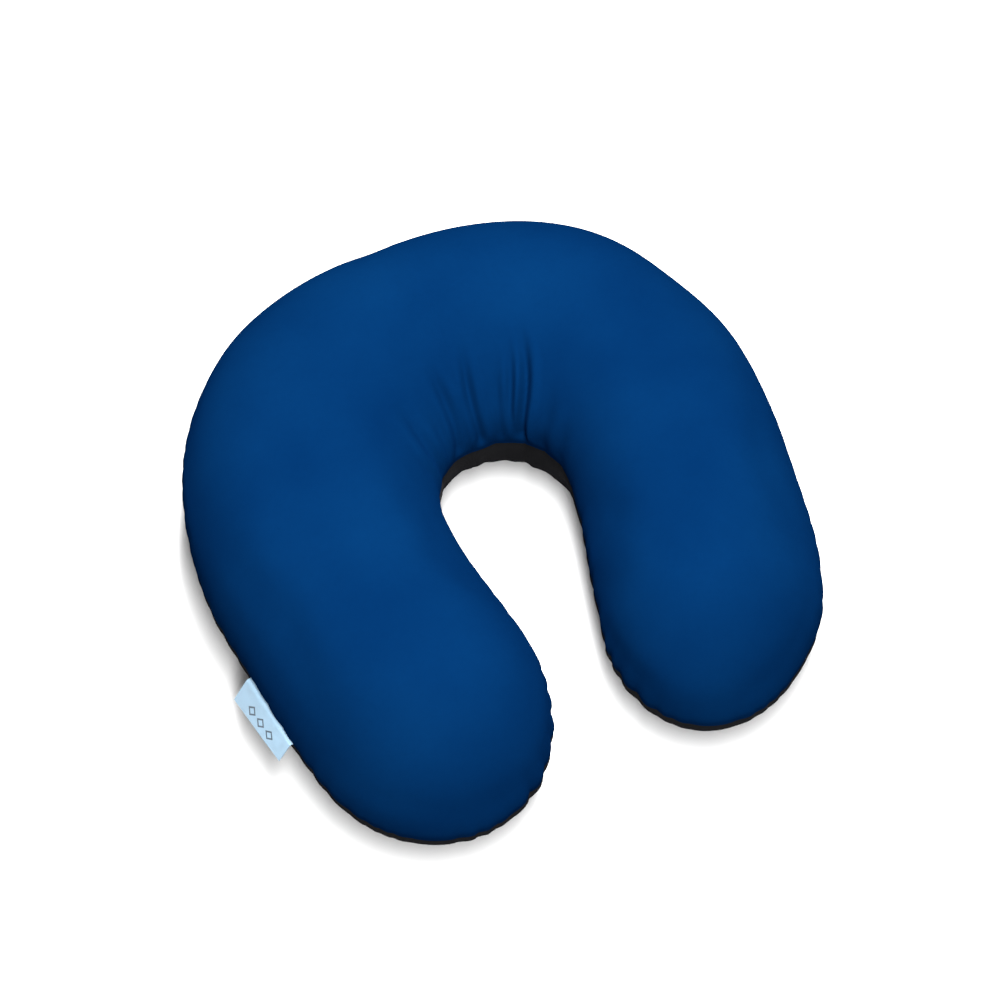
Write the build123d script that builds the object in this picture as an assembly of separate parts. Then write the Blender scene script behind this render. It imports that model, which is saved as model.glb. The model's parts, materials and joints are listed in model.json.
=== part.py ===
"""U shaped neck pillow: a sewn knit cover, a sewn liner and a loose bead fill.

Millimetres. +Z is up, and the pillow lies flat on z = 0 with its mouth towards -Y.
The origin is under the middle of the pillow's box, labels included.
Offsets are distances inside the outer surface, and heights are from the floor.
"""
import math
import os
from functools import lru_cache

from build123d import *

# Plan of the pillow, along the middle of its tube
BACK_RADIUS = 92.0
ARM_START_ANGLE = 101.0  # degrees round the back, from its middle to each straight arm
ARM_LENGTH = 84.0  # straight run, up to the centre of the round tip

# Section of the tube: an ellipse, cut flat where it rests. The left arm holds more beads
HALF_WIDTH = {"back": 57.5, "left": 60.0, "right": 53.0}
HALF_HEIGHT = {"back": 50.0, "left": 51.5, "right": 48.0}
SEAM_HEIGHT = 46.0

# Fabrics and threads
COVER_THICKNESS = 0.6
LINER_THICKNESS = 0.3
THREAD = 0.3
GAP = 0.1  # between layers that touch on the real pillow
ALLOWANCE = 6.0  # how far the turned-in raw edges reach below the seam
STITCH_DEPTH = 1.5  # needle line, below the seam
EDGE_WRAP = 1.5  # how far the looper thread climbs back up from the raw edges
CLOSING_DEPTH = 3.2  # closing line, below the seam
CLOSING_LENGTH = 90.0  # opening that the beads went in by, at the middle of the back

# Arms, each of which swings out about the outside of its shoulder
SHOULDER_ANGLE = 62.0  # degrees round the back from its middle
SHOULDER_GAP_ANGLE = 0.4  # keeps the fills of the arms off the fill of the back

# Labels: each is a tape folded in two, with its ends caught in the seam
LABEL_PLY = 0.25
LABEL_TUCK = 1.2
LABEL_BEND = 0.6
SLOT_CLEARANCE = 0.05
SIDE_LABEL = {"width": 41.0, "length": 17.5, "droop": 50.0}
SIDE_LABEL_ALONG_ARM = 42.5  # from the start of the straight arm to the label's middle
CARE_LABEL = {"width": 26.0, "length": 32.0, "droop": 74.0}
CARE_LABEL_ANGLE = 34.0  # degrees round the back from its middle, to the right

REACH = 500.0  # larger than the pillow, for cutting tools
UP = Vector(0, 0, 1)


def round_the_back(radius, angle, side, height):
    """A point at a radius and a number of degrees from the middle of the back."""
    turn = math.radians(angle)
    return Vector(side * radius * math.sin(turn), radius * math.cos(turn), height)


def arm_direction(side):
    """Direction of an arm from its root to its tip. side is -1 for left and 1 for right."""
    turn = math.radians(ARM_START_ANGLE)
    return Vector(side * math.cos(turn), -math.sin(turn), 0)


def section(centre, direction, half_width, half_height):
    across = UP.cross(direction)
    return Plane(centre, x_dir=across, z_dir=direction) * Ellipse(half_width, half_height)


def back(offset):
    half_width, half_height = HALF_WIDTH["back"] - offset, HALF_HEIGHT["back"] - offset
    profile = Plane.XZ * Pos(BACK_RADIUS, SEAM_HEIGHT) * Ellipse(half_width, half_height)
    return Rot(0, 0, 90 - ARM_START_ANGLE) * revolve(profile, Axis.Z, 2 * ARM_START_ANGLE)


def arm(side, offset):
    """The tapered straight run of an arm, and the half spheroid that closes it."""
    name = "left" if side < 0 else "right"
    start = round_the_back(BACK_RADIUS, ARM_START_ANGLE, side, SEAM_HEIGHT)
    direction = arm_direction(side)
    across = UP.cross(direction)
    end = start + direction * ARM_LENGTH
    root = section(start, direction, HALF_WIDTH["back"] - offset, HALF_HEIGHT["back"] - offset)
    last = section(end, direction, HALF_WIDTH[name] - offset, HALF_HEIGHT[name] - offset)
    half_plane = Plane(end - across * REACH / 2, x_dir=across, z_dir=direction)
    tip = revolve(last & half_plane * Rectangle(REACH, REACH), Axis(end, UP), 180)
    return [loft([root, last], ruled=True).solid(), tip.solid()]


@lru_cache(maxsize=None)
def tube(offset):
    """The whole U before it rests on anything. Its parts share whole end faces."""
    return back(offset).solid().fuse(*arm(-1, offset), *arm(1, offset), glue=True)


def between(shape, low, high):
    """The part of a shape from one height to another."""
    return shape & Pos(0, 0, (low + high) / 2) * Box(REACH, REACH, high - low)


def band(outer, inner, low, high):
    """A ring that follows the wall, between two offsets and two heights."""
    return between(tube(outer), low, high) - tube(inner)


def resting(offset):
    """The U, flattened at the bottom as far above the floor as its offset."""
    return between(tube(offset), offset, REACH)


def grooved(offset, depth, low, high):
    """The resting U with a groove round it that makes room for the sewn edges."""
    return resting(offset) - band(offset - 1, depth, low, high)


def sewn_bag(wall, outside, fabric):
    """Panels and threads of a bag whose raw edges are turned in and hang below its seam.

    outside is the offset of the wall's outer face at the seam.
    """
    raw = SEAM_HEIGHT - ALLOWANCE
    lower_face = outside + 2 * fabric + GAP
    upper_face = lower_face + fabric + GAP
    thread_face = upper_face + GAP
    bottom = between(wall, 0, SEAM_HEIGHT)
    bottom += band(outside, lower_face, SEAM_HEIGHT - fabric, SEAM_HEIGHT)
    bottom += band(outside + fabric + GAP, lower_face, raw, SEAM_HEIGHT - fabric)
    top = between(wall, SEAM_HEIGHT, REACH)
    top += band(outside, upper_face, SEAM_HEIGHT, SEAM_HEIGHT + fabric)
    top += band(lower_face + GAP, upper_face, raw, SEAM_HEIGHT)
    needle_line = SEAM_HEIGHT - STITCH_DEPTH
    needle = band(thread_face, thread_face + THREAD, needle_line - THREAD, needle_line)
    wrap_low = raw - GAP - THREAD
    looper = band(thread_face, thread_face + THREAD, wrap_low, raw + EDGE_WRAP)
    looper += band(outside + fabric + GAP, thread_face, wrap_low, raw - GAP)
    closing_line = SEAM_HEIGHT - CLOSING_DEPTH
    closing = band(thread_face, thread_face + THREAD, closing_line - THREAD, closing_line)
    closing &= Pos(0, BACK_RADIUS + REACH / 2, 0) * Box(CLOSING_LENGTH, REACH, REACH)
    return {
        "top_panel": top,
        "bottom_panel": bottom,
        "needle_thread": needle,
        "looper_thread": looper,
        "closing_thread": closing,
    }


def shoulder_sector(half_angle):
    """Everything round the back up to an angle each side of its middle."""
    left = round_the_back(REACH, half_angle, -1, 0)
    right = round_the_back(REACH, half_angle, 1, 0)
    outline = Polyline((0, 0), (right.X, right.Y), (0, 2 * REACH), (left.X, left.Y), close=True)
    return extrude(make_face(outline), REACH)


def bead_fill(surface):
    """The loose beads of the back and of each arm, parted at the shoulders."""
    arms = surface - shoulder_sector(SHOULDER_ANGLE + SHOULDER_GAP_ANGLE)
    left, right = arms.solids().sort_by(Axis.X)
    return {
        "bead_fill_back": surface & shoulder_sector(SHOULDER_ANGLE),
        "bead_fill_left_arm": left,
        "bead_fill_right_arm": right,
    }


def folded_tape(seam_point, outward, size, clearance=0.0):
    """A tape folded in two. With a clearance it is the solid that cuts a slot for the tape."""
    drop = math.radians(size["droop"])
    knee = 2 * LABEL_BEND
    end = (knee + size["length"] * math.cos(drop), -size["length"] * math.sin(drop))
    thickness = 2 * LABEL_PLY + GAP + 2 * clearance
    path = FilletPolyline((-LABEL_TUCK - clearance, 0), (knee, 0), end, radius=LABEL_BEND)
    profile = trace(path, thickness)
    if not clearance:
        fold = 1 - LABEL_PLY / path.length
        profile -= trace(path.trim(0, fold), GAP)
    plane = Plane(seam_point, x_dir=outward, z_dir=outward.cross(UP))
    return extrude(plane * profile, size["width"] / 2 + clearance, both=True)


def label_places():
    """Seam point and outward direction of the side label and of the care label."""
    direction = arm_direction(-1)
    start = round_the_back(BACK_RADIUS, ARM_START_ANGLE, -1, SEAM_HEIGHT)
    widening = (HALF_WIDTH["left"] - HALF_WIDTH["back"]) / ARM_LENGTH
    across = direction.cross(UP)
    half_width = HALF_WIDTH["back"] + widening * SIDE_LABEL_ALONG_ARM
    side_point = start + direction * SIDE_LABEL_ALONG_ARM + across * half_width
    side_outward = (across - direction * widening).normalized()
    outer_radius = BACK_RADIUS + HALF_WIDTH["back"]
    care_point = round_the_back(outer_radius, CARE_LABEL_ANGLE, 1, SEAM_HEIGHT)
    care_outward = round_the_back(1, CARE_LABEL_ANGLE, 1, 0)
    return (side_point, side_outward), (care_point, care_outward)


def pillow():
    """Every piece by name, in the frame of the back's centre."""
    cover = sewn_bag(resting(0) - resting(COVER_THICKNESS), 0, COVER_THICKNESS)
    cover_room = 3 * COVER_THICKNESS + 3 * GAP + THREAD
    low, high = SEAM_HEIGHT - ALLOWANCE - 2 * GAP - THREAD, SEAM_HEIGHT + COVER_THICKNESS + GAP
    liner_out, liner_in = COVER_THICKNESS + GAP, COVER_THICKNESS + GAP + LINER_THICKNESS
    seam_out, seam_in = cover_room + GAP, cover_room + GAP + LINER_THICKNESS
    liner_wall = grooved(liner_out, seam_out, low, high) - grooved(
        liner_in, seam_in, low - LINER_THICKNESS, high + LINER_THICKNESS
    )
    liner = sewn_bag(liner_wall, seam_out, LINER_THICKNESS)
    liner_room = seam_out + 3 * LINER_THICKNESS + 3 * GAP + THREAD
    margin = LINER_THICKNESS + 2 * GAP
    surface = grooved(liner_in + GAP, liner_room + GAP, low - margin, high + margin)

    pieces = {f"cover_{name}": piece for name, piece in cover.items()}
    pieces |= {f"liner_{name}": piece for name, piece in liner.items()}
    pieces |= bead_fill(surface)
    for name, place, size in zip(("side_label", "care_label"), label_places(), (SIDE_LABEL, CARE_LABEL)):
        pieces[name] = folded_tape(*place, size)
        slot = folded_tape(*place, size, SLOT_CLEARANCE)
        for panel in ("cover_top_panel", "cover_bottom_panel"):
            pieces[panel] -= slot
    return pieces


def main():
    pieces = pillow()
    box = Compound(list(pieces.values())).bounding_box()
    shift = Pos(-box.center().X, -box.center().Y, -box.min.Z)
    os.makedirs("parts", exist_ok=True)
    for name, piece in pieces.items():
        export_step(shift * piece, f"parts/{name}.step")

    outer_radius = BACK_RADIUS + HALF_WIDTH["back"]
    print("overall size", box.size)
    for side, name in ((-1, "left"), (1, "right")):
        pivot = shift * Pos(round_the_back(outer_radius, SHOULDER_ANGLE, side, SEAM_HEIGHT))
        print(name, "shoulder pivot", pivot.position)
    for name, (point, outward) in zip(("side label", "care label"), label_places()):
        print(name, "seam point", (shift * Pos(point)).position, "outward", outward)
    print("middle of the back", (shift * Pos(0, BACK_RADIUS, 0)).position)


main()
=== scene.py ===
import json
import math

import bmesh
import bpy
import numpy as np
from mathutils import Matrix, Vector
from mathutils.bvhtree import BVHTree


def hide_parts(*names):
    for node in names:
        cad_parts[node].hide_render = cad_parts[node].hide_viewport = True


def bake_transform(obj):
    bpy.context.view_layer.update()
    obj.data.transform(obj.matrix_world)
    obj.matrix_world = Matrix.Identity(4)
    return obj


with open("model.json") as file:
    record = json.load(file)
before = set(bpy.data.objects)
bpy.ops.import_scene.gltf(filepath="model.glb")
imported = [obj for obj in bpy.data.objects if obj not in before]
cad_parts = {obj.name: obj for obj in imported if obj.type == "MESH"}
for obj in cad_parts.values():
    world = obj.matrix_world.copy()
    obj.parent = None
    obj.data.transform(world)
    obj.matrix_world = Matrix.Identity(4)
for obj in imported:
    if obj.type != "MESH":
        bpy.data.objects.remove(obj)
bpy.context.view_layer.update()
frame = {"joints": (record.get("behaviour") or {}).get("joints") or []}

MM = 0.001
LEFT, RIGHT = -1, 1
TOP, BOTTOM = 1, -1
SIDE_NAME = {LEFT: "left", RIGHT: "right"}
LEVEL_NAME = {TOP: "top", BOTTOM: "bottom"}
UP = np.array([0.0, 0.0, 1.0])

# The plan and the section, as in the CAD part
JOINTS = {joint["name"]: joint for joint in frame["joints"]}
PIVOT = {side: np.array(JOINTS[f"{SIDE_NAME[side]}_arm_spread"]["pos_m"]) for side in (LEFT, RIGHT)}
SHOULDER_ANGLE = math.radians(62)
BACK_RADIUS = 92 * MM
OUTER_RADIUS = (PIVOT[RIGHT][0] - PIVOT[LEFT][0]) / 2 / math.sin(SHOULDER_ANGLE)
BACK_CENTRE = (PIVOT[LEFT] + PIVOT[RIGHT])[:2] / 2 - [0, OUTER_RADIUS * math.cos(SHOULDER_ANGLE)]
SEAM_Z = PIVOT[LEFT][2]
ARM_START_ANGLE = math.radians(101)
ARM_LENGTH = 84 * MM
BACK_HALF_WIDTH = OUTER_RADIUS - BACK_RADIUS
ARM_HALF_WIDTH = {LEFT: 60 * MM, RIGHT: 53 * MM}
BACK_HALF_HEIGHT = 50 * MM
ARM_HALF_HEIGHT = {LEFT: 51.5 * MM, RIGHT: 48 * MM}
ARC_LENGTH = BACK_RADIUS * ARM_START_ANGLE
HALF_LENGTH = ARC_LENGTH + ARM_LENGTH

# Layers: thickness of each, and how the raw edges hang inside the seam
COVER = 0.6 * MM
LINER = 0.3 * MM
GAP = 0.1 * MM
THREAD = 0.3 * MM
ALLOWANCE = 6 * MM
EDGE_WRAP = 1.5 * MM
STITCH_DEPTH = 1.5 * MM
CLOSING_DEPTH = 3.2 * MM
CLOSING_LENGTH = 90 * MM
STITCH = 2.6 * MM
LINER_OFFSET = COVER + GAP
COVER_ROOM = 3 * COVER + 3 * GAP + THREAD
LINER_SEAM = COVER_ROOM + GAP
FILL_OFFSET = LINER_OFFSET + LINER + GAP
FILL_ROOM = LINER_SEAM + 3 * LINER + 4 * GAP + THREAD
HAIR = 0.02 * MM  # the least gap, under the cloth and in the seam
SEAM_RUN, SEAM_RAMP = 9 * MM, 4 * MM  # near the seam a panel gives way to the layers outside it
BEAD_RUN, BEAD_RAMP = 11 * MM, 5 * MM  # and so do the beads
GRAIN = 0.45 * MM  # how deep the beads' grain is

# The grid
FINE = {"along": 1.6 * MM, "tip": 80, "rows": 50}
COARSE = {"along": 5 * MM, "tip": 26, "rows": 16}
FIRST_COLUMNS = np.array([0, 0.25, 0.6, 1.2]) * MM  # close together, to hide the join in the middle
ROW_CROWDING = 1.3  # above 1, rows lie closer together near the seam
KEEL = 1.62  # exponent of the lower half of the section, whose cloth runs in from the seam
NECK_KEEL = 2.12  # the same inside the neck, where the beads bulge out below the seam


def smoothstep(x):
    x = np.clip(x, 0, 1)
    return x * x * (3 - 2 * x)


def unit(v):
    return v / np.linalg.norm(v, axis=-1, keepdims=True)


WAVES = np.random.default_rng(7)
WAVE_SETS = [(WAVES.normal(size=(7, 3)), WAVES.uniform(0, 2 * math.pi, 7)) for _ in range(4)]


def wander(points, wavelength, which=0):
    """Smooth irregular values of about -1 to 1 over space."""
    ways, phases = WAVE_SETS[which]
    turns = points @ unit(ways).T * (2 * math.pi / wavelength) + phases
    return np.sin(turns).sum(-1) / 3.2


def eased(pairs, at):
    """A smooth curve through given pairs of place and value, level at its two ends."""
    places, values = np.array(pairs, float).T
    slopes = np.gradient(values, places)
    slopes[[0, -1]] = 0
    k = np.clip(np.searchsorted(places, at) - 1, 0, len(places) - 2)
    gap = places[k + 1] - places[k]
    t = np.clip((at - places[k]) / gap, 0, 1)
    rise = values[k] * (1 + 2 * t) * (1 - t) ** 2 + values[k + 1] * t * t * (3 - 2 * t)
    return rise + gap * (slopes[k] * t * (1 - t) ** 2 + slopes[k + 1] * t * t * (t - 1))


def running_length(points):
    """Distance along a line of points, from its first."""
    steps = np.linalg.norm(np.diff(points, axis=0), axis=1)
    return np.concatenate([[0], np.cumsum(steps)])


# ---------------------------------------------------------------- the plan of one half

# How far the beads push the plain outline out: pairs of distance along the half's seam, from the
# outside of the back round the tip to the inside of the neck, and millimetres
OUTLINE_PUSH = {
    LEFT: [
        (0, -3), (60, 2), (110, 6), (210, 3), (325, 4), (350, 2.5), (455, 5.5), (515, 0.5), (545, 2),
        (585, 2.5), (645, 9.5), (681, 8),
    ],
    RIGHT: [
        (0, -3), (85, 4.5), (180, -2), (275, -2.5), (325, 4.5), (385, -2), (455, 7), (490, 4.5), (540, 2),
        (580, -2), (635, 3.5), (659, 8),
    ],
}
# The exponent of the upper half of the section: 2 is an ellipse, more is squarer, less is pointed
FULLNESS = {
    LEFT: [
        (0, 2.1), (300, 2.1), (380, 1.7), (460, 1.65), (530, 2.1), (600, 2.2), (640, 2.3), (660, 1.75),
        (681, 1.6),
    ],
    RIGHT: [
        (0, 2.1), (300, 2.2), (370, 1.7), (450, 1.55), (520, 2.1), (570, 2.2), (612, 2.3), (637, 1.75),
        (659, 1.6),
    ],
}
# How far the beads let the seam sag below its height on the back, in millimetres
SEAM_DROP = {
    LEFT: [(0, 0), (250, 0), (300, 1), (350, 5), (420, 9), (480, 6), (540, 3), (620, 2), (681, 4)],
    RIGHT: [(0, 0), (250, 0), (310, 2), (350, 5), (440, 9), (500, 6), (540, 3), (600, 1), (659, 4)],
}
NECK_END = 1.15 * ARC_LENGTH  # where the neck's section gives way to the arm's, along the tube
NECK_REACH = 60 * MM  # how gradually it does


def centreline(side, s):
    """Point, outward direction and distance past the round of the back, at lengths s."""
    turn = np.minimum(s, ARC_LENGTH) / BACK_RADIUS
    outward = np.stack([side * np.sin(turn), np.cos(turn)], -1)
    onward = np.stack([side * np.cos(turn), -np.sin(turn)], -1)
    past = np.maximum(s - ARC_LENGTH, 0)
    return BACK_CENTRE + BACK_RADIUS * outward + onward * past[:, None], outward, onward, past


class Half:
    """Columns of the left or right half: seam and crest points, direction, size and places."""

    def __init__(self, side, size):
        count = round(HALF_LENGTH / size["along"])
        onwards = np.linspace(FIRST_COLUMNS[-1], HALF_LENGTH, count)
        s = np.concatenate([FIRST_COLUMNS[:-1], onwards])
        middle, outward, onward, past = centreline(side, s)
        grown = smoothstep(past / ARM_LENGTH)
        width = BACK_HALF_WIDTH + (ARM_HALF_WIDTH[side] - BACK_HALF_WIDTH) * grown
        height = BACK_HALF_HEIGHT + (ARM_HALF_HEIGHT[side] - BACK_HALF_HEIGHT) * grown
        fan = np.linspace(0, math.pi, size["tip"] + 2)[1:-1]
        spoke = np.cos(fan)[:, None] * outward[-1] + np.sin(fan)[:, None] * onward[-1]
        stations = np.arange(len(s))
        self.side = side
        self.stations = len(s)
        self.station = np.concatenate([stations, np.full(len(fan), stations[-1]), stations[::-1]])
        self.crest = middle[self.station]
        self.spoke = np.concatenate([outward, spoke, -outward[::-1]])
        self.width = width[self.station]
        self.height = height[self.station]
        round_tip = np.concatenate([np.zeros(len(s)), fan / math.pi, np.ones(len(s))])
        self.inner = smoothstep((round_tip - 0.9) * 10)  # 1 inside the U, 0 from the tip outwards
        self.s = s[self.station]
        self.rows = size["rows"]
        plain = running_length(self.crest + self.spoke * self.width[:, None]) / MM
        self.width = self.width + eased(OUTLINE_PUSH[side], plain) * MM
        seam_z = SEAM_Z - eased(SEAM_DROP[side], plain) * MM
        self.seam = np.column_stack([self.crest + self.spoke * self.width[:, None], seam_z])
        self.along = running_length(self.seam[:, :2])
        neck = self.inner * smoothstep((NECK_END - self.s) / NECK_REACH)
        self.fullness = {TOP: eased(FULLNESS[side], plain), BOTTOM: KEEL + (NECK_KEEL - KEEL) * neck}


# ---------------------------------------------------------------- the skin

VALLEY = ((1.0, 3.2), (1.2, 13))  # depth and reach of the two dips that the seam pulls in, in mm
PUCKER_PITCH = 12.5 * MM
PUCKER_PLACE = np.array([-0.018, -0.125])  # where the edges pucker most: inside the left arm's tip
PUCKER_SPREAD = 52 * MM
PUCKER_HEIGHT = (0.7, 1.9)  # everywhere, and what is added at the place above, in mm
PUCKER_REACH = (8.5, 5)  # how far from the seam they go, and what is added in places, in mm
# How uneven their spacing, height and reach are, and the length over which that changes
UNEVEN_SPACING = (0.55, 47 * MM)
UNEVEN_HEIGHT = (0.6, 31 * MM)
UNEVEN_REACH = (0.5, 23 * MM)
CREASE_NEAR, CREASE_FAR = 10, 70  # the distances from the seam at which a crease's angles hold, in mm
CREASE_END = 1.02 * ARC_LENGTH  # there are none past here, along the tube
SKIN_WAVE = (0.7, 74 * MM)  # height in mm, and length, of the slow waves of the whole skin
SKIN_CALM = 18 * MM  # which fade out this near the seam
# Folds up the inner side of the neck: angle round the back near the seam and near the crest, how
# far up each one ends, its half width and its depth, in degrees and millimetres
CREASES = [
    (47.5, 32, 70, 2.2, 3.6),
    (39, 25.5, 63, 1.9, 1.9),
    (33, 24, 40, 2.2, 0.7),
    (26, 21.8, 52, 2.4, 1.0),
    (16, 13.5, 40, 2.4, 0.7),
    (7.3, 5.5, 64, 2.1, 2.4),
    (-3, -2, 42, 2.4, 0.8),
    (-14.3, -8.3, 60, 2.5, 2.2),
    (-28, -20, 44, 2.8, 0.9),
    (-49, -33, 56, 3.2, 1.8),
    (-68, -52, 40, 3.6, 0.7),
    (67, 50, 46, 3.4, 0.9),
    (86, 68, 36, 3.6, 0.6),
]


def plain_skin(half, level):
    """The section swept round the plan, before its seam and creases. Rows go from seam to crest."""
    part = np.linspace(0, 1, half.rows + 1)[:, None] ** ROW_CROWDING * math.pi / 2
    power = 2 / half.fullness[level]
    out = np.cos(part) ** power
    out[-1] = 0
    rise = np.sin(part) ** power
    seam_z = half.seam[:, 2]
    height = half.height + level * (SEAM_Z - seam_z)
    plan = half.crest + half.spoke * (half.width * out)[..., None]
    z = seam_z + level * height * rise
    points = np.concatenate([plan, z[..., None]], -1)
    level_part = np.cos(part) ** (2 - power) * height
    rise_part = np.sin(part) ** (2 - power) * half.width
    spoke = np.concatenate([half.spoke, np.zeros((len(half.s), 1))], -1)
    normal = unit(spoke * level_part[..., None] + level * UP * rise_part[..., None])
    steps = np.linalg.norm(np.diff(points, axis=0), axis=-1)
    distance = np.concatenate([np.zeros((1, points.shape[1])), np.cumsum(steps, 0)])
    return points, normal, distance


def seam_shape(half, distance):
    """The valley that the seam pulls in, and the puckers across it, in mm."""
    place = half.seam
    d = distance / MM
    valley = -sum(depth * np.exp(-((d / reach) ** 2)) for depth, reach in VALLEY)
    count = round(half.along[-1] / PUCKER_PITCH)
    share, length = UNEVEN_SPACING
    phase = half.along / half.along[-1] * count + share * wander(place, length, 1)
    away = np.linalg.norm(half.seam[:, :2] - PUCKER_PLACE, axis=1)
    strength = PUCKER_HEIGHT[0] + PUCKER_HEIGHT[1] * np.exp(-((away / PUCKER_SPREAD) ** 2))
    share, length = UNEVEN_HEIGHT
    strength = strength * (1 + share * wander(place, length, 2))
    ridge = np.abs(np.sin(math.pi * phase)) ** 0.75 - 0.62  # broad ridges and narrow pleats
    share, length = UNEVEN_REACH
    reach = PUCKER_REACH[0] + PUCKER_REACH[1] * (0.5 + share * wander(place, length, 3))
    return valley + strength * ridge * np.exp(-((d / reach) ** 1.4))


def crease_shape(half, points, distance, level):
    """The folds that run up the inner side of the neck from its seam, in mm."""
    offset = points[..., :2] - BACK_CENTRE
    radius = np.linalg.norm(offset, axis=-1)
    angle = np.degrees(np.arctan2(offset[..., 0], offset[..., 1]))
    d = distance / MM
    total = np.zeros(d.shape)
    for low, high, end, width, depth in CREASES:
        if level == BOTTOM:  # beside those of the top, shorter and shallower
            low, high, end, depth = low + 5, high + 5, 0.7 * end, 0.25 * depth
        at = low + (high - low) * (d - CREASE_NEAR) / (CREASE_FAR - CREASE_NEAR)
        waver = 0.7 * np.sin(d / 9 + low)
        across = np.radians(angle - at) * radius / MM - waver
        window = smoothstep((d - 2) / 9) * smoothstep((end - d) / (0.45 * end))
        lips = np.exp(-(((np.abs(across) - 2.1 * width) / width) ** 2))
        total += depth * window * (0.4 * lips - np.exp(-((across / width) ** 2)))
    return total * half.inner * (half.s < CREASE_END)


def skin(half, level, swell=None):
    """Points of the pillow's outer surface, their normals and distances from the seam."""
    points, normal, distance = plain_skin(half, level)
    push = seam_shape(half, distance) + crease_shape(half, points, distance, level)
    height, length = SKIN_WAVE
    push = push + height * wander(points, length) * smoothstep(distance / SKIN_CALM)
    points = points + normal * (push * MM)[..., None]
    if swell is not None:
        points = points + normal * swell[..., None]
    return points, normal, distance


def rest_on_floor(z, floor):
    """Heights flattened softly onto the floor, as the weight of the beads does."""
    soft, sink = 2.2 * MM, 0.35 * MM
    return floor + 0.5 * ((z - floor) + np.sqrt((z - floor) ** 2 + soft**2)) - sink


def layer(surface, level, offset):
    """The skin moved inwards by an offset that may differ from row to row."""
    points, normal, _ = surface
    seam_z = points[0, :, 2]
    moved = points - normal * np.broadcast_to(offset, points.shape[:2])[..., None]
    if level == BOTTOM:
        floor = np.broadcast_to(offset, points.shape[:2]).min()
        moved[..., 2] = np.maximum(rest_on_floor(moved[..., 2], floor), floor + HAIR)
    moved[0, :, 2] = seam_z
    return moved


# ---------------------------------------------------------------- meshes


def new_piece(name, verts, faces, material, sharp_angle=None):
    """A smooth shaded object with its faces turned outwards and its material."""
    mesh = bpy.data.meshes.new(name)
    mesh.from_pydata([tuple(v) for v in verts], [], [tuple(int(i) for i in f) for f in faces])
    tidy = bmesh.new()
    tidy.from_mesh(mesh)
    bmesh.ops.recalc_face_normals(tidy, faces=tidy.faces)
    tidy.to_mesh(mesh)
    tidy.free()
    mesh.polygons.foreach_set("use_smooth", [True] * len(mesh.polygons))
    if sharp_angle:
        mesh.set_sharp_from_angle(angle=math.radians(sharp_angle))
    obj = bpy.data.objects.new(name, mesh)
    bpy.context.scene.collection.objects.link(obj)
    obj.data.materials.append(material)
    return obj


def name_points(obj, name, values):
    """Keep a 3-D value for each point, which materials read by its name."""
    values = np.asarray(values, dtype=np.float32)
    attribute = obj.data.attributes.new(name, "FLOAT_VECTOR", "POINT")
    attribute.data.foreach_set("vector", values.ravel())


def strip_faces(ids):
    """Faces between neighbouring rows and columns of point numbers, without doubled corners."""
    faces = []
    for above, below in zip(ids[:-1], ids[1:]):
        for a, b, c, d in zip(above[:-1], above[1:], below[1:], below[:-1]):
            corners = list(dict.fromkeys((a, b, c, d)))
            if len(corners) > 2:
                faces.append(corners)
    return faces


def number_points(half, count, crest_rows):
    """Point numbers of a block of rows. At a crest row, columns of one station share a point."""
    columns = len(half.s)
    ids = np.arange(count * columns).reshape(count, columns)
    for row in crest_rows:
        first = ids[row, : half.stations]
        ids[row] = first[half.station]
    return ids


def used_only(verts, faces, extra):
    """Drop the points that no face uses."""
    used = np.unique(np.concatenate([np.asarray(f) for f in faces]))
    place = np.full(len(verts), -1)
    place[used] = np.arange(len(used))
    return verts[used], [[place[i] for i in f] for f in faces], [e[used] for e in extra]


def flat_place(half, distance):
    """Where each point lay on the flat cloth, for the knit of the material, in metres."""
    length = distance[-1][None, :] - distance
    plan = half.crest + half.spoke * length[..., None]
    depth = distance / np.maximum(distance[-1], 1e-6)
    return np.concatenate([plan, depth[..., None]], -1)


def hem(half, surface, level, outside, cloth):
    """The raw edge inside the seam: turned in, then hanging down, as rows of points."""
    lower_face = outside + 2 * cloth + GAP
    upper_face = lower_face + cloth + GAP
    raw = -ALLOWANCE
    if level == TOP:
        profile = [
            (lower_face + GAP, 0),
            (lower_face + GAP, raw),
            (upper_face, raw),
            (upper_face, cloth),
        ]
    else:
        profile = [
            (lower_face, -HAIR),
            (lower_face, raw),
            (outside + cloth + GAP, raw),
            (outside + cloth + GAP, -cloth),
        ]
    return [seam_line(half, surface, offset, rise) for offset, rise in profile]


def seam_line(half, surface, offset, rise):
    """The seam's line, moved inwards and up or down."""
    points = surface[0][0].copy()
    points[:, :2] -= half.spoke * offset
    points[:, 2] += rise
    return points


def panel(half, surface, level, outside, seam_outside, cloth, name, material, slot):
    """One half of a sewn panel: outer face, turned-in edge and inner face, closed all round."""
    distance = surface[2]
    step = seam_outside - outside
    sunk = smoothstep((SEAM_RUN - distance) / SEAM_RAMP) * step
    outer = layer(surface, level, outside + sunk)[::-1]
    inner = layer(surface, level, outside + cloth + sunk)
    edge = hem(half, surface, level, seam_outside, cloth)
    rows = np.concatenate([outer, np.array(edge), inner])
    ids = number_points(half, len(rows), (0, len(rows) - 1))
    faces = strip_faces(ids)
    for column in (0, -1):
        line = ids[:, column]
        deep = half.rows
        faces += [[line[r], line[r + 1], line[-2 - r], line[-1 - r]] for r in range(deep)]
        faces.append(list(line[deep : deep + len(edge) + 2]))
    flat = flat_place(half, distance)
    edge_flat = np.repeat(flat[:1], len(edge), 0)
    flat = np.concatenate([flat[::-1], edge_flat, flat])
    verts, faces, (flat,) = used_only(rows.reshape(-1, 3), faces, [flat.reshape(-1, 3)])
    obj = new_piece(name, verts, faces, material, 55)
    name_points(obj, "flat", flat)
    return obj


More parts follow.
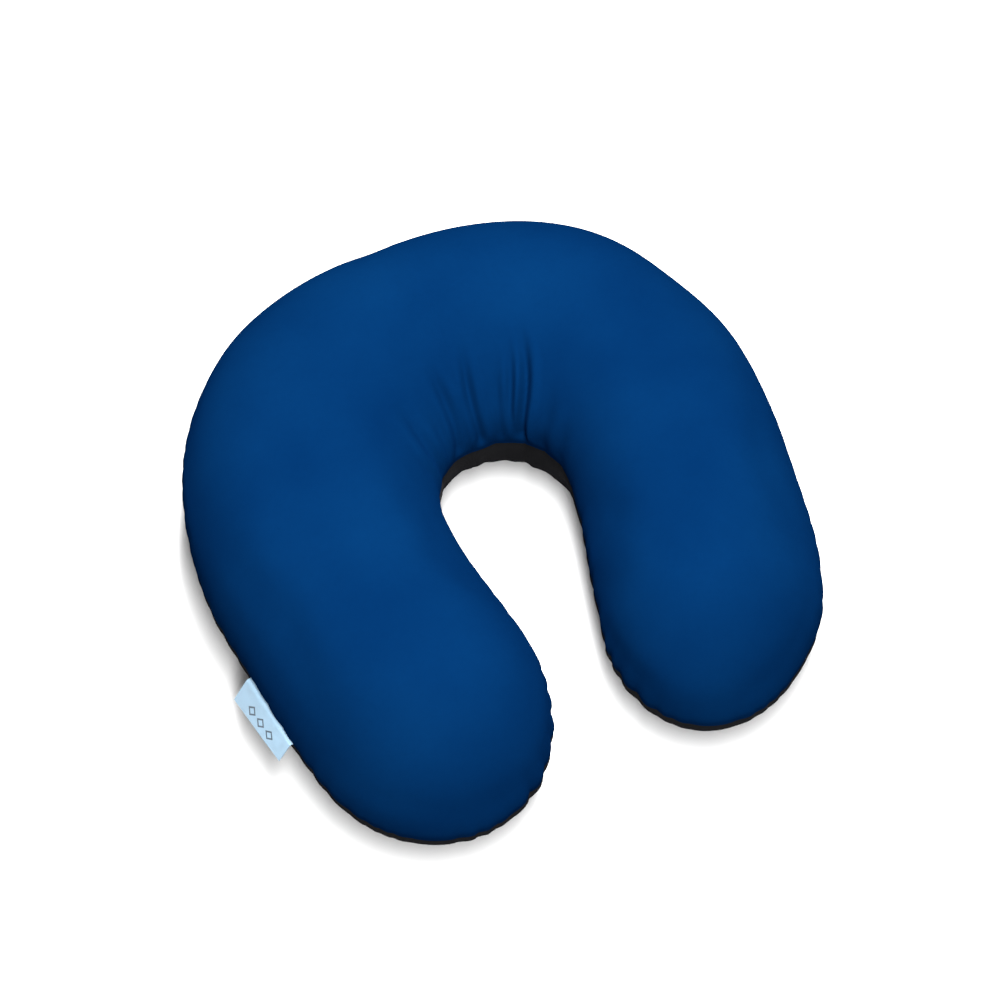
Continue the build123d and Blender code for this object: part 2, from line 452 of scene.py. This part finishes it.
def fill_body(half, surfaces, name, material):
    """The beads of one half, a closed body with the grain of the beads on its face."""
    grain = np.random.default_rng(3 + half.side)
    room = FILL_ROOM - FILL_OFFSET
    blocks = {}
    for level in (TOP, BOTTOM):
        distance = surfaces[level][2]
        sunk = smoothstep((BEAD_RUN - distance) / BEAD_RAMP) * room
        bumps = grain.uniform(0, GRAIN, distance.shape)
        bumps[:, (0, -1)] = 0
        offset = FILL_OFFSET + sunk + bumps
        offset[-1] = (FILL_OFFSET + bumps[-1, : half.stations])[half.station]
        blocks[level] = layer(surfaces[level], level, offset)
    rows = np.concatenate([blocks[TOP][::-1], blocks[BOTTOM][1:]])
    ids = number_points(half, len(rows), (0, len(rows) - 1))
    faces = strip_faces(ids)
    first, last = ids[:, 0], ids[:, -1]
    faces += [[first[r], first[r + 1], last[r + 1], last[r]] for r in range(len(ids) - 1)]
    faces = [list(dict.fromkeys(f)) for f in faces]
    verts, faces, _ = used_only(rows.reshape(-1, 3), faces, [])
    return new_piece(name, verts, faces, material)


def thread_tube(path, name, material, slot):
    """A round thread that follows a path of points."""
    sides = 6
    heading = unit(np.gradient(path, axis=0))
    across = unit(np.cross(heading, UP + 0.05))  # leaning, so that no thread runs along it
    other = np.cross(heading, across)
    turn = np.arange(sides) * 2 * math.pi / sides
    ring = np.cos(turn)[:, None, None] * across + np.sin(turn)[:, None, None] * other
    verts = path + ring * THREAD / 2
    columns = len(path)
    ids = np.arange(sides * columns).reshape(sides, columns)
    ids = np.concatenate([ids, ids[:1]])
    faces = strip_faces(ids)
    faces += [list(ids[:-1, 0]), list(ids[:-1, -1])]
    return new_piece(name, verts.reshape(-1, 3), faces, material)


def along_seam(half, surface, spacing, reach=None):
    """Evenly spaced places along a half's seam, or its first reach: points, ways out, distances."""
    end = half.along[-1] if reach is None else reach
    at = np.linspace(0, end, round(end / spacing) + 1)
    seam = surface[0][0]
    points = np.stack([np.interp(at, half.along, seam[:, axis]) for axis in range(3)], -1)
    outward = np.stack([np.interp(at, half.along, half.spoke[:, axis]) for axis in range(2)], -1)
    outward = np.concatenate([unit(outward), np.zeros((len(at), 1))], -1)
    return points, outward, at


def stitch_path(half, surface, offset, rise, reach=None):
    """A row of lock stitches, each a shallow dip through the cloth."""
    points, outward, at = along_seam(half, surface, STITCH / 6, reach)
    dip = 0.06 * MM * np.abs(np.sin(math.pi * at / STITCH))
    return points - outward * (offset + dip)[:, None] + UP * rise


def wrap_path(half, surface, outer_offset, inner_offset):
    """The looper thread, which goes over the raw edges and back with every stitch."""
    points, outward, at = along_seam(half, surface, STITCH / 8)
    beat = np.arange(len(at)) % 8
    ins = np.array([1, 1, 1, 0.5, 0, 0.5, 1, 1])[beat]
    climb = np.array([1, 0.5, 0, 0, 0, 0, 0, 0.5])[beat]
    path = points - outward * (outer_offset + (inner_offset - outer_offset) * ins)[:, None]
    path[:, 2] += climb * (EDGE_WRAP + GAP) - ALLOWANCE - GAP - THREAD / 2
    return path


# ---------------------------------------------------------------- cloth simulation

SHELL_INSET = 3 * MM  # the cloth starts this far inside the skin
VOXEL = 5 * MM
PRESSURE = 4
FRAMES = 20
MOST_MOVE = 7 * MM
SWELL_SMOOTHING = 14
SWELL_SHARE = 0.6
MOST_SWELL = 3 * MM
SEAM_HOLD = 26 * MM  # the seam holds the cloth this far up from it


def closed_shell(halves, surfaces, inset):
    """A light closed mesh of the whole pillow, a little smaller than its skin."""
    whole = bmesh.new()
    for side, half in halves.items():
        for level in (TOP, BOTTOM):
            points = layer(surfaces[side][level], level, inset)
            ids = number_points(half, half.rows + 1, (half.rows,))
            verts = [whole.verts.new(p) for p in points.reshape(-1, 3)]
            for face in strip_faces(ids):
                whole.faces.new([verts[i] for i in face])
    loose = [v for v in whole.verts if not v.link_faces]
    bmesh.ops.delete(whole, geom=loose, context="VERTS")
    bmesh.ops.remove_doubles(whole, verts=whole.verts, dist=0.05 * MM)
    bmesh.ops.recalc_face_normals(whole, faces=whole.faces)
    mesh = bpy.data.meshes.new("inflated")
    whole.to_mesh(mesh)
    whole.free()
    obj = bpy.data.objects.new("inflated", mesh)
    bpy.context.scene.collection.objects.link(obj)
    return obj


def baked(obj):
    """The mesh of an object as its modifiers leave it."""
    depsgraph = bpy.context.evaluated_depsgraph_get()
    return bpy.data.meshes.new_from_object(obj.evaluated_get(depsgraph))


def inflate(halves):
    """Blow the pillow up as cloth, and return a tree of the surface that this gives."""
    surfaces = {s: {level: plain_skin(h, level) for level in (TOP, BOTTOM)} for s, h in halves.items()}
    obj = closed_shell(halves, surfaces, SHELL_INSET)
    remesh = obj.modifiers.new("remesh", "REMESH")
    remesh.mode = "VOXEL"
    remesh.voxel_size = VOXEL
    start = baked(obj)
    obj.modifiers.clear()
    obj.data = start
    seam = obj.vertex_groups.new(name="seam")
    near = [v.index for v in start.vertices if abs(v.co.z - SEAM_Z + SHELL_INSET) < VOXEL]
    seam.add(near, 1.0, "REPLACE")
    cloth = obj.modifiers.new("cloth", "CLOTH")
    settings = cloth.settings
    settings.quality = 6
    settings.mass = 0.2
    settings.tension_stiffness = 12
    settings.compression_stiffness = 12
    settings.shear_stiffness = 4
    settings.bending_stiffness = 0.2
    settings.use_pressure = True
    settings.uniform_pressure_force = PRESSURE
    settings.vertex_group_shrink = "seam"
    settings.shrink_min = 0.0
    settings.shrink_max = 0.05
    settings.effector_weights.gravity = 0
    scene = bpy.context.scene
    for number in range(1, FRAMES + 1):
        scene.frame_set(number)
    blown = baked(obj)
    obj.modifiers.clear()
    scene.frame_set(1)
    before = np.array([v.co for v in start.vertices])
    move = np.array([v.co for v in blown.vertices]) - before
    length = np.linalg.norm(move, axis=1, keepdims=True)
    after = before + move * np.minimum(1, MOST_MOVE / np.maximum(length, 1e-9))
    for vertex, place in zip(blown.vertices, after):
        vertex.co = place
    obj.data = blown
    smooth = obj.modifiers.new("smooth", "SUBSURF")
    smooth.levels = 1
    depsgraph = bpy.context.evaluated_depsgraph_get()
    tree = BVHTree.FromObject(obj, depsgraph)
    bpy.data.objects.remove(obj)
    return tree


def swell_of(half, level, tree):
    """How far the blown-up cloth stands from the plain skin, without its average."""
    points, normal, distance = plain_skin(half, level)
    back = 14 * MM
    swell = np.full(distance.shape, np.nan)
    for row in range(points.shape[0]):
        for column in range(points.shape[1]):
            way = Vector(normal[row, column])
            hit = tree.ray_cast(Vector(points[row, column]) - way * back, way, 3 * back)
            if hit[0] is not None:
                swell[row, column] = hit[3] - back
    swell = np.where(np.isnan(swell), np.nanmedian(swell), swell)
    return np.clip(swell - np.median(swell), -MOST_SWELL, MOST_SWELL), distance


def swells(halves, tree):
    """The swell of each half and level, smoothed round the whole ring so that the halves agree."""
    made = {}
    for level in (TOP, BOTTOM):
        raw = {side: swell_of(half, level, tree) for side, half in halves.items()}
        ring = np.concatenate([raw[LEFT][0], raw[RIGHT][0][:, ::-1]], 1)
        for _ in range(SWELL_SMOOTHING):
            ring = (np.roll(ring, 1, 1) + np.roll(ring, -1, 1) + 2 * ring) / 4
            tall = np.pad(ring, ((1, 1), (0, 0)), mode="edge")
            ring = (tall[:-2] + tall[2:] + 2 * ring) / 4
        count = raw[LEFT][0].shape[1]
        parts = {LEFT: ring[:, :count], RIGHT: ring[:, count:][:, ::-1]}
        for column in (0, -1):
            parts[LEFT][:, column] = (parts[LEFT][:, column] + parts[RIGHT][:, column]) / 2
            parts[RIGHT][:, column] = parts[LEFT][:, column]
        for side, half in halves.items():
            swell = parts[side] * SWELL_SHARE * smoothstep(raw[side][1] / SEAM_HOLD)
            swell[-1] = swell[-1, : half.stations][half.station]
            made[side, level] = swell
    return made


# ---------------------------------------------------------------- materials


def nodes_of(name):
    """A new material, its node tree and its shader."""
    material = bpy.data.materials.new(name)
    material.use_nodes = True
    tree = material.node_tree
    shader = tree.nodes["Principled BSDF"]
    return material, tree, shader


def node(tree, kind, **settings):
    """A new node with some of its inputs or settings filled in."""
    made = tree.nodes.new(kind)
    for key, value in settings.items():
        if key in made.inputs:
            made.inputs[key].default_value = value
        else:
            setattr(made, key, value)
    return made


def texture(tree, kind, where, **settings):
    """A texture node that reads its place from a socket."""
    made = node(tree, kind, **settings)
    tree.links.new(where, made.inputs["Vector"])
    return made


def add_relief(tree, shader, height, strength, distance):
    """Relief in the shader's normal, from a height."""
    relief = node(tree, "ShaderNodeBump", Strength=strength, Distance=distance)
    tree.links.new(height, relief.inputs["Height"])
    tree.links.new(relief.outputs[0], shader.inputs["Normal"])


def ramp(tree, source, *stops):
    """Colours along a value, from pairs of position and colour."""
    made = tree.nodes.new("ShaderNodeValToRGB")
    while len(made.color_ramp.elements) < len(stops):
        made.color_ramp.elements.new(0.5)
    for element, (position, colour) in zip(made.color_ramp.elements, stops):
        element.position = position
        element.color = (*colour, 1)
    tree.links.new(source, made.inputs[0])
    return made.outputs[0]


def maths(tree, operation, *values):
    """The result of one sum, whose values are numbers or sockets."""
    made = node(tree, "ShaderNodeMath", operation=operation)
    for socket, value in zip(made.inputs, values):
        if isinstance(value, (int, float)):
            socket.default_value = value
        else:
            tree.links.new(value, socket)
    return made.outputs[0]


def mix_colours(tree, amount, first, second):
    """A colour between two, each a number triple or a socket."""
    made = node(tree, "ShaderNodeMix", data_type="RGBA")
    for socket, value in ((made.inputs[0], amount), (made.inputs[6], first), (made.inputs[7], second)):
        if isinstance(value, tuple):
            socket.default_value = (*value, 1)
        elif isinstance(value, (int, float)):
            socket.default_value = value
        else:
            tree.links.new(value, socket)
    return made.outputs[2]


def knit(tree, place, wale, course):
    """Height of a plain knit: columns of loops, each row of loops leaning the other way."""
    split = node(tree, "ShaderNodeSeparateXYZ")
    tree.links.new(place, split.inputs[0])
    across = maths(tree, "MULTIPLY", split.outputs[0], 2 * math.pi / wale)
    down = maths(tree, "MULTIPLY", split.outputs[1], 2 * math.pi / course)
    leg = maths(tree, "ABSOLUTE", maths(tree, "SINE", maths(tree, "MULTIPLY", across, 0.5)))
    lean = maths(tree, "MULTIPLY", leg, 2.4)
    loop = maths(tree, "SINE", maths(tree, "ADD", down, lean))
    return maths(tree, "MULTIPLY", maths(tree, "ADD", loop, 1.4), maths(tree, "ADD", leg, 0.25))


def fabric(name, dark, light, tint, wale=0.5 * MM, roughness=0.62):
    """A stretch knit with a soft face: colour drift, loops, fine fuzz and a tinted sheen, with painted
    shade in the hollows between the loops.
    """
    material, tree, shader = nodes_of(name)
    place = node(tree, "ShaderNodeAttribute", attribute_name="flat").outputs["Vector"]
    where = node(tree, "ShaderNodeTexCoord").outputs["Object"]
    drift = texture(tree, "ShaderNodeTexNoise", where, Scale=14.0, Detail=3.0).outputs[0]
    fuzz = texture(tree, "ShaderNodeTexNoise", where, Scale=900.0, Detail=2.0).outputs[0]
    heather = texture(tree, "ShaderNodeTexNoise", where, Scale=330.0, Detail=4.0, Roughness=0.7).outputs[0]
    loops = knit(tree, place, wale, wale * 0.8)
    colour = ramp(tree, drift, (0.3, dark), (0.7, light))
    # Darker where the loops and fuzz sit low, in the hollows of the relief made below: painted shade. The
    # heather adds the cloth's own uneven tone.
    shade = maths(tree, "MULTIPLY_ADD", loops, 0.22, 0.72)
    shade = maths(tree, "ADD", shade, maths(tree, "MULTIPLY", fuzz, 0.11))
    shade = maths(tree, "ADD", shade, maths(tree, "MULTIPLY_ADD", heather, 0.5, -0.25))
    deepest = tuple(0.55 * c for c in dark)
    tree.links.new(mix_colours(tree, shade, deepest, colour), shader.inputs["Base Color"])
    rough = maths(tree, "MULTIPLY_ADD", fuzz, 0.16, roughness - 0.08)
    tree.links.new(rough, shader.inputs["Roughness"])
    height = maths(tree, "ADD", loops, maths(tree, "MULTIPLY", fuzz, 0.8))
    add_relief(tree, shader, height, 0.55, 0.06 * MM)
    shader.inputs["Specular IOR Level"].default_value = 0.0
    shader.inputs["Specular Tint"].default_value = (*tint, 1)
    shader.inputs["Sheen Weight"].default_value = 0.05
    shader.inputs["Sheen Roughness"].default_value = 0.42
    shader.inputs["Sheen Tint"].default_value = (*tint, 1)
    return material


def thread_material(name, colour):
    """Twisted polyester thread, with painted shade in the grooves of its twist."""
    material, tree, shader = nodes_of(name)
    where = node(tree, "ShaderNodeTexCoord").outputs["Object"]
    twist = texture(tree, "ShaderNodeTexWave", where, Scale=700.0, Distortion=2.0).outputs[1]
    # Darker where the twist sits low, in the grooves of the relief: painted shade.
    dark = tuple(0.6 * c for c in colour)
    tree.links.new(ramp(tree, twist, (0.2, dark), (0.8, colour)), shader.inputs["Base Color"])
    add_relief(tree, shader, twist, 0.5, 0.04 * MM)
    shader.inputs["Roughness"].default_value = 0.45
    shader.inputs["Sheen Weight"].default_value = 0.2
    return material


def bead_material():
    """Small white beads of expanded polystyrene, packed at random, with painted shade on their rims and in
    the gaps between them.
    """
    material, tree, shader = nodes_of("polystyrene beads")
    where = node(tree, "ShaderNodeTexCoord").outputs["Object"]
    beads = texture(tree, "ShaderNodeTexVoronoi", where, Scale=780.0).outputs["Distance"]
    # The white turns grey towards each bead's rim and in the gaps between beads: painted shade.
    colour = ramp(tree, beads, (0.0, (0.9, 0.9, 0.89)), (0.75, (0.52, 0.52, 0.51)))
    tree.links.new(colour, shader.inputs["Base Color"])
    add_relief(tree, shader, maths(tree, "SUBTRACT", 1.0, beads), 1.0, 0.5 * MM)
    shader.inputs["Roughness"].default_value = 0.6
    shader.inputs["Subsurface Weight"].default_value = 0.15
    return material


def tape_material(name, ground, ink, marks):
    """A woven tape, with painted shade in the hollows of its weave. marks is a function that draws its
    plain printed marks as a mask.
    """
    material, tree, shader = nodes_of(name)
    place = node(tree, "ShaderNodeAttribute", attribute_name="flat").outputs["Vector"]
    split = node(tree, "ShaderNodeSeparateXYZ")
    tree.links.new(place, split.inputs[0])
    x, y = split.outputs[0], split.outputs[1]
    warp = maths(tree, "SINE", maths(tree, "MULTIPLY", x, 2 * math.pi / (0.22 * MM)))
    weft = maths(tree, "SINE", maths(tree, "MULTIPLY", y, 2 * math.pi / (0.3 * MM)))
    weave = maths(tree, "MULTIPLY", warp, weft)
    drift = texture(tree, "ShaderNodeTexNoise", place, Scale=160.0, Detail=3.0).outputs[0]
    # Darker where the weave sits low, in the hollows of the relief: painted shade. The drift is the tape's
    # own uneven tone.
    dark = tuple(0.82 * c for c in ground)
    weave_shade_and_drift = maths(tree, "MULTIPLY_ADD", weave, 0.2, drift)
    tape = ramp(tree, weave_shade_and_drift, (0.2, dark), (0.7, ground))
    tree.links.new(mix_colours(tree, marks(tree, x, y), tape, ink), shader.inputs["Base Color"])
    add_relief(tree, shader, weave, 0.5, 0.05 * MM)
    shader.inputs["Roughness"].default_value = 0.5
    shader.inputs["Sheen Weight"].default_value = 0.15
    return material


def inside(tree, value, low, high):
    """1 where a value is between two limits."""
    above = maths(tree, "GREATER_THAN", value, low)
    return maths(tree, "MULTIPLY", above, maths(tree, "LESS_THAN", value, high))


def diamond_marks(tree, x, y):
    """Three small outlined diamonds in a row, in the middle of the face that hangs free."""
    total = 0.0
    middle = SIDE_LABEL["length"] * 0.7
    for place in (-8 * MM, 0.0, 8 * MM):
        across = maths(tree, "ABSOLUTE", maths(tree, "SUBTRACT", x, place))
        along = maths(tree, "ABSOLUTE", maths(tree, "SUBTRACT", y, middle))
        away = maths(tree, "ADD", across, along)
        total = maths(tree, "ADD", total, inside(tree, away, 2.0 * MM, 3.3 * MM))
    return total


def care_marks(tree, x, y):
    """Plain printed rules across the tape, with no wording."""
    total = 0.0
    for line, half_length in ((9, 8), (12, 8), (15, 6), (21, 8), (24, 5)):
        row = inside(tree, y, line * MM, (line + 0.7) * MM)
        short = maths(tree, "LESS_THAN", maths(tree, "ABSOLUTE", x), half_length * MM)
        total = maths(tree, "ADD", total, maths(tree, "MULTIPLY", row, short))
    return total


# ---------------------------------------------------------------- labels

# Length is from the hinge to the free fold. Droop is how far below level the tape hangs, turn is a
# reach out from the seam's edge from which two points are worked out that nothing uses, askew is how
# much shorter one side of it hangs, and curl is how far its face waves up and down.
SIDE_LABEL = {
    "width": 41 * MM,
    "length": 18.5 * MM,
    "droop": math.radians(56),
    "turn": 10 * MM,
    "askew": 0.2,
    "curl": 0.9 * MM,
}
CARE_LABEL = {
    "width": 26 * MM,
    "length": 33 * MM,
    "droop": math.radians(74),
    "turn": 5.2 * MM,
    "askew": 0.0,
    "curl": 0.5 * MM,
}
PLY = 0.25 * MM
KNEE = 1.0 * MM  # how far inside the edge a tape starts to bend over
TAPE_BEND = 2.0 * MM  # the run over which it bends
TUCK = 3.2 * MM  # how much of it is caught inside the seam
PLY_SLACK = 0.12 * MM  # how far each ply bulges away from the other, halfway along
TAPE_STEPS = 26
TAPE_COLUMNS = 31


def tape_line(size, knee):
    """The line between a tape's plies, as reach and rise: raw end, hinge, bend, then down."""
    run = np.linspace(0, 1, TAPE_STEPS)
    free = size["length"] - knee
    drop = size["droop"] * smoothstep(run * free / TAPE_BEND)
    step = free / (TAPE_STEPS - 1)
    reach = knee + np.cumsum(np.cos(drop) * step) - step
    fall = -np.cumsum(np.sin(drop) * step)
    return np.stack([np.r_[-TUCK, 0.0, reach], np.r_[0.0, 0.0, fall]], -1)


def tape_profile(middle):
    """Closed section of a tape folded in two round its middle line, and lengths along the tape."""
    length = running_length(middle)
    heading = unit(np.gradient(middle, axis=0))
    normal = np.stack([-heading[:, 1], heading[:, 0]], -1)
    spread = GAP / 2 + PLY + PLY_SLACK * np.sin(math.pi * length / length[-1])
    outer = middle + normal * spread[:, None]
    under = middle - normal * spread[:, None]
    inner = middle + normal * (spread - PLY)[:, None]
    inner_under = middle - normal * (spread - PLY)[:, None]
    end = middle[-1] + heading[-1] * PLY
    profile = np.concatenate([outer, [end], under[::-1], inner_under[:-1], inner[:-1][::-1]])
    along = np.concatenate([length, [length[-1]], length[::-1], length[:-1], length[:-1][::-1]])
    return profile, along


def tape_sides(ids, count):
    """Faces that close the two cut sides of a folded tape, whose middle line has count points."""
    faces = []
    for line in (ids[0], ids[-1]):
        top_out, tip = line[:count], line[count]
        low_out = line[count + 1 : 2 * count + 1][::-1]
        low_in = line[2 * count + 1 : 3 * count]
        top_in = line[3 * count :][::-1]
        for a in range(count - 2):
            faces.append([top_out[a], top_out[a + 1], top_in[a + 1], top_in[a]])
            faces.append([low_out[a], low_out[a + 1], low_in[a + 1], low_in[a]])
        fold = [top_out[-2], top_out[-1], tip, low_out[-1], low_out[-2], low_in[-1], top_in[-1]]
        faces.append(fold)
    return faces


def folded_tape(name, joint, seam, size, material):
    """A tape folded in two, which runs from its hinge to the seam, bends over there and hangs."""
    hinge = np.array(joint["pos_m"])
    outward = unit(np.cross(UP, joint["axis"]))
    if outward @ (hinge - [*BACK_CENTRE, SEAM_Z]) < 0:
        outward = -outward
    sideways = np.cross(UP, outward)
    nearest = seam[np.argmin(np.linalg.norm((seam - hinge)[:, :2], axis=1))]
    edge = outward @ (nearest - hinge)
    knee = edge - KNEE
    middle = tape_line(size, knee)
    profile, along = tape_profile(middle)
    reach, rise = profile[:, :1], profile[:, 1:]
    hanging = np.clip(along / along.max() - 0.25, 0, 1)[:, None]
    verts, flat = [], []
    for place in np.linspace(-0.5, 0.5, TAPE_COLUMNS):
        lift = size["curl"] * np.sin(place * 5.2 + 0.6) * hanging
        short = 1 - size["askew"] * (place + 0.5)
        out = np.where(reach > knee, knee + (reach - knee) * short, reach) + 0.35 * lift
        start = hinge + sideways * place * size["width"]
        verts.append(start + outward * out + UP * (rise * short + lift))
        x = np.full(len(profile), place * size["width"])
        flat.append(np.stack([x, along - TUCK, 0 * along], -1))
    ids = np.arange(TAPE_COLUMNS * len(profile)).reshape(TAPE_COLUMNS, len(profile))
    faces = strip_faces(np.concatenate([ids, ids[:, :1]], 1)) + tape_sides(ids, len(middle))
    obj = new_piece(name, np.concatenate(verts), faces, material, 40)
    name_points(obj, "flat", np.concatenate(flat))
    start, end = (hinge + outward * (edge + share * size["turn"]) for share in (-0.1, 0.9))
    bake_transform(obj)
    return obj


# ---------------------------------------------------------------- build

top_knit = fabric("blue satin knit", (0.0004, 0.0135, 0.057), (0.0007, 0.0180, 0.070), (0.004, 0.1, 0.5))
bottom_knit = fabric("charcoal knit", (0.008, 0.008, 0.0087), (0.012, 0.012, 0.013), (0.5, 0.5, 0.55))
liner_knit = fabric(
    "liner knit", (0.60, 0.60, 0.58), (0.74, 0.74, 0.72), (0.9, 0.9, 0.9), wale=0.8 * MM, roughness=0.7
)
cover_thread = thread_material("blue thread", (0.006, 0.05, 0.2))
liner_thread = thread_material("white thread", (0.8, 0.8, 0.78))
beads = bead_material()
PANEL = {
    ("cover", TOP): (top_knit, "top_fabric"),
    ("cover", BOTTOM): (bottom_knit, "bottom_fabric"),
    ("liner", TOP): (liner_knit, "liner_fabric"),
    ("liner", BOTTOM): (liner_knit, "liner_fabric"),
}
THREADS = {"cover": (cover_thread, "cover_thread"), "liner": (liner_thread, "liner_thread")}
# How far each bag's skin and its seam stand inside the pillow's skin, and how thick its cloth is
BAGS = {"cover": (0, 0, COVER), "liner": (LINER_OFFSET, LINER_SEAM, LINER)}


def bend_at_shoulder(obj):
    """Move the object's transform into its mesh."""
    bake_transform(obj)


halves = {side: Half(side, FINE) for side in (LEFT, RIGHT)}
swell = {}
swell = swells(halves, inflate({side: Half(side, COARSE) for side in (LEFT, RIGHT)}))

for side, half in halves.items():
    surfaces = {level: skin(half, level, swell.get((side, level))) for level in (TOP, BOTTOM)}
    joined = (surfaces[TOP][0][0] + surfaces[BOTTOM][0][0]) / 2
    for level in (TOP, BOTTOM):
        surfaces[level][0][0] = joined
    where = SIDE_NAME[side]
    fill_name = f"bead_fill_{where}"
    for bag, (outside, seam_outside, cloth) in BAGS.items():
        for level in (TOP, BOTTOM):
            name = f"{bag}_{LEVEL_NAME[level]}_panel"
            sizes = (outside, seam_outside, cloth)
            piece = panel(half, surfaces[level], level, *sizes, f"{name}_{where}", *PANEL[bag, level])
            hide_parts(name)
            bend_at_shoulder(piece)
        surface = surfaces[TOP]
        face = seam_outside + 3 * cloth + 3 * GAP + THREAD / 2
        needle, closing = -STITCH_DEPTH - THREAD / 2, -CLOSING_DEPTH - THREAD / 2
        paths = {
            "needle_thread": stitch_path(half, surface, face, needle),
            "looper_thread": wrap_path(half, surface, seam_outside + cloth, face),
            "closing_thread": stitch_path(half, surface, face, closing, CLOSING_LENGTH / 2),
        }
        for name, path in paths.items():
            piece = thread_tube(path, f"{bag}_{name}_{where}", *THREADS[bag])
            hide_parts(f"{bag}_{name}")
            bend_at_shoulder(piece)
    piece = fill_body(half, surfaces, fill_name, beads)
    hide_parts("bead_fill_back", f"{fill_name}_arm")
    bend_at_shoulder(piece)

for name, side, size, ground, ink, marks in (
    ("side_label", LEFT, SIDE_LABEL, (0.30, 0.46, 0.60), (0.02, 0.045, 0.075), diamond_marks),
    ("care_label", RIGHT, CARE_LABEL, (0.78, 0.78, 0.76), (0.08, 0.08, 0.09), care_marks),
):
    material = tape_material(f"{name} tape", ground, ink, marks)
    piece = folded_tape(f"{name}_tape", JOINTS[f"{name}_flap"], halves[side].seam, size, material)
    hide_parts(name)

# ---------------------------------------------------------------- floor, light and camera

FLOOR = {"size": 12, "pale": 0.9, "roughness": 0.9}
STRIP = {"place": (0.12, -0.04, 1.7), "width": 0.3, "length": 3.4, "power": 140}
SURROUND = 0.2  # strength of the even white light all round
ELEVATION, TURN = math.radians(60), math.radians(21.9)
DISTANCE = 2.0
LENS, SENSOR = 147.06, 36
AIM_HEIGHT, AIM_RIGHT, AIM_ABOVE = 0.046, 0.0039, 0.0026

bpy.ops.mesh.primitive_plane_add(size=FLOOR["size"], location=(0, 0, 0))
floor = bpy.context.object
floor.name = "floor"
floor_material, _, floor_shader = nodes_of("pale floor")
floor_shader.inputs["Base Color"].default_value = (FLOOR["pale"], FLOOR["pale"], FLOOR["pale"], 1)
floor_shader.inputs["Roughness"].default_value = FLOOR["roughness"]
floor.data.materials.append(floor_material)
floor.visible_diffuse = False  # the floor throws no light back on to the dark cloth

# A long soft box that hangs level over the pillow, turned with the camera
strip = bpy.data.lights.new("strip", "AREA")
strip.shape = "RECTANGLE"
strip.size, strip.size_y = STRIP["width"], STRIP["length"]
strip.energy = STRIP["power"]
strip_light = bpy.data.objects.new("strip", strip)
strip_light.location = STRIP["place"]
strip_light.rotation_euler = (0, 0, -TURN)
bpy.context.scene.collection.objects.link(strip_light)
world = bpy.data.worlds.new("studio")
world.use_nodes = True
background = world.node_tree.nodes["Background"]
background.inputs["Color"].default_value = (1, 1, 1, 1)
background.inputs["Strength"].default_value = SURROUND
bpy.context.scene.world = world

aside = math.cos(ELEVATION)
to_camera = Vector((-math.sin(TURN) * aside, -math.cos(TURN) * aside, math.sin(ELEVATION)))
rotation = to_camera.to_track_quat("Z", "Y")
right, above = rotation @ Vector((1, 0, 0)), rotation @ Vector((0, 1, 0))
target = Vector((0, 0, AIM_HEIGHT)) + right * AIM_RIGHT + above * AIM_ABOVE
camera_data = bpy.data.cameras.new("camera")
camera_data.lens = LENS
camera_data.sensor_width = SENSOR
camera = bpy.data.objects.new("camera", camera_data)
camera.location = target + to_camera * DISTANCE
camera.rotation_euler = rotation.to_euler()
bpy.context.scene.collection.objects.link(camera)
bpy.context.scene.camera = camera
bpy.context.scene.view_settings.view_transform = "Standard"
